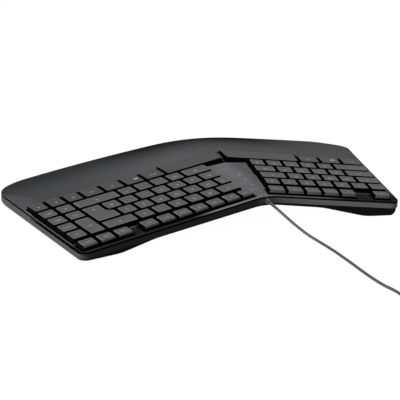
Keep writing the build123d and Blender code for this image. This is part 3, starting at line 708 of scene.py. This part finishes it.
def rounded(loop, insets, radii, steps=CORNER_STEPS):
    """Points round a loop, each side drawn in by its own inset and each corner rounded."""
    points = []
    for k, here in enumerate(loop):
        first = (here - loop[k - 1]).normalized()
        second = (loop[(k + 1) % len(loop)] - here).normalized()
        in_first, in_second = Vector((-first.y, first.x)), Vector((-second.y, second.x))
        sine = in_first.x * in_second.y - in_first.y * in_second.x
        shift = Vector((
            insets[k - 1] * in_second.y - insets[k] * in_first.y,
            insets[k] * in_first.x - insets[k - 1] * in_second.x))
        corner = here + shift / sine
        turn = math.atan2(first.x * second.y - first.y * second.x, first.dot(second))
        outward = 1 if turn > 0 else -1
        diagonal = (in_first + in_second) / (1 + in_first.dot(in_second))
        centre = corner + diagonal * radii[k] * outward
        for step in range(steps + 1):
            share = step / steps if steps else 0.5
            arm = Matrix.Rotation(turn * share, 2) @ (-in_first * outward)
            points.append(centre + arm * radii[k])
    return points


def faces_palm(loop, k):
    """Whether a loop's side k is the one next to the palm rest."""
    run = (loop[(k + 1) % len(loop)] - loop[k]).normalized()
    return run.x > PALM_FACING


def drawn(loop, inset, corner, flush):
    """A loop drawn in by an inset; a flush one reaches out to the palm rest instead on that side."""
    insets, radii = [inset] * len(loop), [corner] * len(loop)
    if flush:
        for k in range(len(loop)):
            if faces_palm(loop, k):
                insets[k] = -PALM_REACH
                radii[k] = radii[(k + 1) % len(loop)] = PALM_CORNER
    return rounded(loop, insets, radii)


def hub(loop):
    """A point from which the whole of a cap's outline shows."""
    for before, here, after in zip(loop[-1:] + loop[:-1], loop, loop[1:] + loop[:1]):
        first, second = here - before, after - here
        if first.x * second.y - first.y * second.x < 0:
            opposite = max(loop, key=lambda p: (p - here).length)
            return (here + opposite) / 2
    return Vector((
        (min(p.x for p in loop) + max(p.x for p in loop)) / 2,
        (min(p.y for p in loop) + max(p.y for p in loop)) / 2))


class HalfMesh:
    """Gathers one node's caps on its half, and turns them into a mesh in the part's frame."""

    def __init__(self, side):
        self.side = side
        self.origin, self.across, self.rear, self.up = half_axes(side)
        self.work = bmesh.new()

    def ring(self, points, height):
        """New vertices over the points of an outline."""
        return [self.vertex(p, height) for p in points]

    def vertex(self, point, height):
        """A new vertex over a point of the key plane, at a height along its normal."""
        place = self.across * point.x + self.rear * point.y + self.up * height
        return self.work.verts.new(self.origin + place * MM)

    def bridge(self, lower, upper, material=KEY):
        """Faces between two rings of points."""
        self.band = []
        for a, b, c, d in zip(lower, lower[1:] + lower[:1], upper[1:] + upper[:1], upper):
            face = self.work.faces.new((a, b, c, d))
            face.material_index = material
            self.band.append(face)

    def light_rear(self, outline):
        """The last band's faces on the rear side of an outline take the cap's own finish."""
        for face, a, b in zip(self.band, outline, outline[1:] + outline[:1]):
            run = (b - a).normalized()
            if run.x < REAR_FACING:
                face.material_index = KEY

    def fan(self, ring, middle, flip=False):
        """Faces between a ring and its middle."""
        for a, b in zip(ring, ring[1:] + ring[:1]):
            self.work.faces.new((b, a, middle) if flip else (a, b, middle))


def cap_height_at(point, middle, edge, dish):
    """Height of a cap's dished top over a point, from how far out it lies towards the edge."""
    reach = min(ray_share(point, middle, edge), 1.0)
    return -dish * (1 - reach * reach)


def ray_share(point, middle, edge):
    """How far out a point lies between the middle, 0, and the edge of the top, 1."""
    arm = point - middle
    if arm.length < TINY:
        return 0.0
    best = 0.0
    for a, b in zip(edge, edge[1:] + edge[:1]):
        run = b - a
        cross = arm.x * run.y - arm.y * run.x
        if abs(cross) < PARALLEL:
            continue
        start = a - middle
        out = (start.x * run.y - start.y * run.x) / cross
        along = (start.x * arm.y - start.y * arm.x) / cross
        if out > 0 and -TINY <= along <= 1 + TINY:
            best = max(best, 1 / out)
    return best


def cap_profile(skirt, round_size):
    """Heights, insets and corner radii of a cap's wall and shoulder, from its lower edge up."""
    lean = math.tan(CAP_TAPER)
    profile = [
        (-CAP_HEIGHT, FOOT_INSET, CORNER_LOW),
        (-CAP_HEIGHT + FOOT_RISE, FOOT_FLARE, CORNER_LOW),
        (skirt, (CAP_HEIGHT + skirt) * lean, CORNER_LOW),
    ]
    for step in range(ROUND_STEPS + 1):
        share = step / ROUND_STEPS
        angle = math.pi / 2 * share
        reach = round_size * (1 - math.cos(angle)) * SHOULDER_REACH
        growth = SHOULDER_CORNER + (1 - SHOULDER_CORNER) * share
        profile.append((
            -round_size + round_size * math.sin(angle), (CAP_HEIGHT - round_size) * lean + reach,
            CORNER_LOW + (CORNER_TOP - CORNER_LOW) * growth))
    return profile


def build_post(half, post):
    """One square post under a cap's roof."""
    corners = [post + Vector(c) * STEM_SIZE / 2 for c in ((-1, -1), (1, -1), (1, 1), (-1, 1))]
    square = rounded(corners, [0.0] * 4, [POST_CORNER] * 4)
    end = -CAP_ROOF + POST_SINK
    foot, top = half.ring(square, -STEM_DEPTH), half.ring(square, end)
    half.bridge(foot, top, PAINTED_SHADE)
    half.fan(foot, half.vertex(post, -STEM_DEPTH), flip=True)
    half.fan(top, half.vertex(post, end))


def build_cap(half, loop, posts, round_size, dish, flush, rear_row):
    """A hollow cap with a rounded shoulder, a dished top and posts. Gives the top's edge and middle."""
    # The wall up into the shoulder takes painted shade, and the rim above it a painted highlight
    rim = KEY if flush else RIM_HIGHLIGHT
    profile = cap_profile(SKIRT_LOW[half.side], round_size)
    middle = hub(loop)
    outlines = [drawn(loop, inset, corner, flush) for _, inset, corner in profile]
    rings = [half.ring(outline, height) for outline, (height, _, _) in zip(outlines, profile)]
    for number, (lower, upper) in enumerate(zip(rings, rings[1:])):
        half.bridge(lower, upper, rim if number > SHADED_BANDS else PAINTED_SHADE)
        if rear_row and REAR_LIT_FROM <= number <= SHADED_BANDS:
            half.light_rear(outlines[number])
    last = rings[-1]
    for number, share in enumerate(DISH_RINGS):
        ring = half.ring([middle + (p - middle) * share for p in outlines[-1]], 0.0)
        for vert in ring:
            vert.co += half.up * (-dish * (1 - share * share)) * MM
        half.bridge(last, ring, KEY if number else rim)
        last = ring
    half.fan(last, half.vertex(middle, -dish))
    roof_inset = CAP_WALL + (CAP_HEIGHT - CAP_ROOF) * math.tan(CAP_TAPER) * ROOF_LEAN
    lip = half.ring(drawn(loop, CAP_WALL, CORNER_LOW, False), -CAP_HEIGHT)
    roof = half.ring(drawn(loop, roof_inset, CORNER_LOW, False), -CAP_ROOF)
    half.bridge(lip, rings[0], PAINTED_SHADE)
    half.bridge(roof, lip, PAINTED_SHADE)
    half.fan(roof, half.vertex(middle, -CAP_ROOF), flip=True)
    for post in posts:
        build_post(half, post)
    return outlines[-1], middle


ARROW = [
    (-1.5, 0.1), (-0.35, 0.1), (-0.35, -1.5), (0.35, -1.5), (0.35, 0.1), (1.5, 0.1), (0.0, 1.6)]
ARROW_TURNS = {"arrow up": 0, "arrow left": 90, "arrow down": 180, "arrow right": 270}


def legend_shapes(label):
    """Flat polygons of a legend, in millimetres about its middle."""
    if label in ARROW_TURNS:
        turn = Matrix.Rotation(math.radians(ARROW_TURNS[label]), 2)
        return [[turn @ Vector(p) for p in ARROW]]
    if label == "bars":
        x, y = BAR_HALF
        bar = ((-x, -y), (x, -y), (x, y), (-x, y))
        return [[Vector((across, along + place)) for across, along in bar] for place in BAR_PLACES]
    if label == "ring":
        outer, inner = RING_RADII
        turns = (math.tau * k / RING_STEPS for k in range(RING_STEPS + 1))
        arms = [Vector((math.cos(turn), math.sin(turn))) for turn in turns]
        return [[a * outer, b * outer, b * inner, a * inner] for a, b in zip(arms, arms[1:])]
    letters = bpy.data.curves.new("letters", "FONT")
    letters.body = label
    letters.size = LETTER_SIZE if len(label) == 1 else WORD_SIZE
    letters.align_x = "CENTER"
    letters.align_y = "CENTER"
    letters.resolution_u = 3
    holder = bpy.data.objects.new("letters", letters)
    bpy.context.scene.collection.objects.link(holder)
    shapes = bpy.data.meshes.new_from_object(holder)
    polygons = [[shapes.vertices[i].co.xy for i in face.vertices] for face in shapes.polygons]
    bpy.data.objects.remove(holder)
    bpy.data.curves.remove(letters)
    bpy.data.meshes.remove(shapes)
    return polygons


def print_legend(half, label, edge, middle, dish, shift):
    """A legend as a thin closed print that follows the cap's top, enlarged where it has a shift."""
    pairs, borders = {}, {}
    for shape in legend_shapes(label):
        corners = []
        for p in shape:
            p = p * MARK_GROWTH + shift if shift else p
            key = (round(p.x, 4), round(p.y, 4))
            if key not in pairs:
                spot = middle + p
                level = cap_height_at(spot, middle, edge, dish)
                pairs[key] = [half.vertex(spot, level + lift) for lift in (-LEGEND_SINK, LEGEND_LIFT)]
            corners.append(key)
        half.work.faces.new([pairs[key][1] for key in corners]).material_index = INK
        half.work.faces.new([pairs[key][0] for key in corners[::-1]]).material_index = INK
        for a, b in zip(corners, corners[1:] + corners[:1]):
            borders[a, b] = (b, a)
    for a, b in borders:
        if (b, a) not in borders:
            side = (pairs[b][1], pairs[a][1], pairs[a][0], pairs[b][0])
            half.work.faces.new(side).material_index = INK


def make_keys():
    """Every key node's caps, built on the outlines that the CAD gives."""
    for name, labels in CAP_LABELS.items():
        side = key_side(name)
        half = HalfMesh(side)
        flush = name in PALM_SIDE
        round_size = REAR_ROW_ROUND if name in REAR_ROW else CAP_ROUND
        dish = SLIGHT_DISH if flush else DISH
        caps = read_caps(name, side)
        for number, (loop, posts) in enumerate(caps):
            edge, middle = build_cap(half, loop, posts, round_size, dish, flush, name in REAR_ROW)
            if number < len(labels):
                print_legend(half, labels[number], edge, middle, dish, BRIGHT_MARKS.get(name))
        bmesh.ops.recalc_face_normals(half.work, faces=half.work.faces)
        mesh = bpy.data.meshes.new(name + "_caps")
        half.work.to_mesh(mesh)
        half.work.free()
        finish = space_plastic if flush else key_plastic
        ink = mark_ink if name in BRIGHT_MARKS else legend_ink
        for material in (finish, ink, key_shade, key_rim_highlight):
            mesh.materials.append(material)
        mesh.shade_smooth()
        mesh.set_sharp_from_angle(angle=CAP_SHARP)
        piece = bpy.data.objects.new(name + "_caps", mesh)
        bpy.context.scene.collection.objects.link(piece)
        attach(piece, name)
        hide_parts(name)


# Surroundings

def make_camera():
    """The photograph's viewpoint."""
    data = bpy.data.cameras.new("photo_camera")
    data.lens = CAMERA_LENS
    data.sensor_width = CAMERA_SENSOR
    data.clip_start, data.clip_end = CAMERA_CLIP
    camera = bpy.data.objects.new("photo_camera", data)
    up = -CAMERA_DOWN
    back = CAMERA_RIGHT.cross(up)
    turn = Matrix((CAMERA_RIGHT, up, back)).transposed().to_4x4()
    camera.matrix_world = Matrix.Translation(metres(CAMERA_EYE)) @ turn
    bpy.context.scene.collection.objects.link(camera)
    bpy.context.scene.camera = camera


def make_lamp(name, place, target, size, power):
    """A large soft lamp aimed at a point."""
    data = bpy.data.lights.new(name, "AREA")
    data.shape = "RECTANGLE"
    data.size, data.size_y = size
    data.energy = power
    lamp = bpy.data.objects.new(name, data)
    direction = Vector(target) - Vector(place)
    lamp.location = place
    lamp.rotation_mode = "QUATERNION"
    lamp.rotation_quaternion = direction.to_track_quat("-Z", "Y")
    bpy.context.scene.collection.objects.link(lamp)


def seen_rays(tree, path):
    """1 for the rays that show the background: to the eye, in a gloss and through glass."""
    glossy = add_math(tree, "MAXIMUM", path.outputs["Is Camera Ray"], path.outputs["Is Glossy Ray"])
    return add_math(tree, "MAXIMUM", glossy, path.outputs["Is Transmission Ray"])


WHITE = (1.0, 1.0, 1.0, 1.0)
# The world's light: strength against how high a direction points
SKY_RISE = (0.1, 0.7)
SKY_LIGHT = (0.06, 0.6)
# The floor: how much of it the eye sees as plain glow, that glow's strength, and its size in metres
FLOOR_GLOW = 0.93
FLOOR_LEVEL = 1.06
FLOOR_COLOR = (0.35, 0.35, 0.35)
FLOOR_ROUGHNESS = 0.7
FLOOR_SIZE = 3.0
FLOOR_DROP = 0.0002
# Lamps: name, place and target in metres, size and power
LAMPS = [
    ("sky_panel", (0.0, 0.2, 1.5), (0.0, 0.0, 0.0), (2.2, 1.6), 7.0),
    ("side_panel", (1.4, 0.25, 0.17), (0.0, 0.0, 0.02), (0.6, 0.4), 36.0),
    ("front_panel", (-0.6, -0.5, 0.9), (-0.05, 0.0, 0.02), (0.8, 0.8), 4.0),
]


def mix_shaders(tree, share, first, second, output):
    """The output shows a mix of two shaders."""
    mix = tree.nodes.new("ShaderNodeMixShader")
    tree.links.new(share, mix.inputs["Fac"])
    tree.links.new(first, mix.inputs[1])
    tree.links.new(second, mix.inputs[2])
    tree.links.new(mix.outputs["Shader"], output.inputs["Surface"])


def make_world():
    """White to the eye, and soft plain light on the object."""
    world = bpy.data.worlds.new("studio")
    bpy.context.scene.world = world
    world.use_nodes = True
    tree = world.node_tree
    tree.nodes.clear()
    output = tree.nodes.new("ShaderNodeOutputWorld")
    light = tree.nodes.new("ShaderNodeBackground")
    light.inputs["Color"].default_value = WHITE
    place = tree.nodes.new("ShaderNodeTexCoord")
    split = tree.nodes.new("ShaderNodeSeparateXYZ")
    tree.links.new(place.outputs["Generated"], split.inputs["Vector"])
    strength = add_range(tree, split.outputs["Z"], *SKY_LIGHT, *SKY_RISE)
    tree.links.new(strength, light.inputs["Strength"])
    seen = tree.nodes.new("ShaderNodeBackground")
    seen.inputs["Color"].default_value = WHITE
    seen.inputs["Strength"].default_value = 1.0
    path = tree.nodes.new("ShaderNodeLightPath")
    mix_shaders(
        tree, seen_rays(tree, path), light.outputs["Background"], seen.outputs["Background"], output)


def make_floor():
    """A white table that fades into the background and keeps the object's shadow."""
    mesh = bpy.data.meshes.new("floor")
    work = bmesh.new()
    bmesh.ops.create_grid(work, x_segments=1, y_segments=1, size=FLOOR_SIZE)
    work.to_mesh(mesh)
    work.free()
    floor = bpy.data.objects.new("floor", mesh)
    floor.location = (0.0, 0.0, -FLOOR_DROP)
    bpy.context.scene.collection.objects.link(floor)
    material, tree, shader = new_material("floor_white", FLOOR_COLOR, FLOOR_ROUGHNESS)
    shader.inputs["Specular IOR Level"].default_value = 0.0
    glow = tree.nodes.new("ShaderNodeEmission")
    glow.inputs["Strength"].default_value = FLOOR_LEVEL
    path = tree.nodes.new("ShaderNodeLightPath")
    share = add_math(tree, "MULTIPLY", seen_rays(tree, path), FLOOR_GLOW)
    mix_shaders(
        tree, share, shader.outputs["BSDF"], glow.outputs["Emission"], tree.nodes["Material Output"])
    mesh.materials.append(material)


make_camera()
make_cord()
dress_nodes()
shade_groove()
make_keys()
make_world()
make_floor()
for lamp in LAMPS:
    make_lamp(*lamp)
bpy.context.scene.view_settings.view_transform = "Standard"
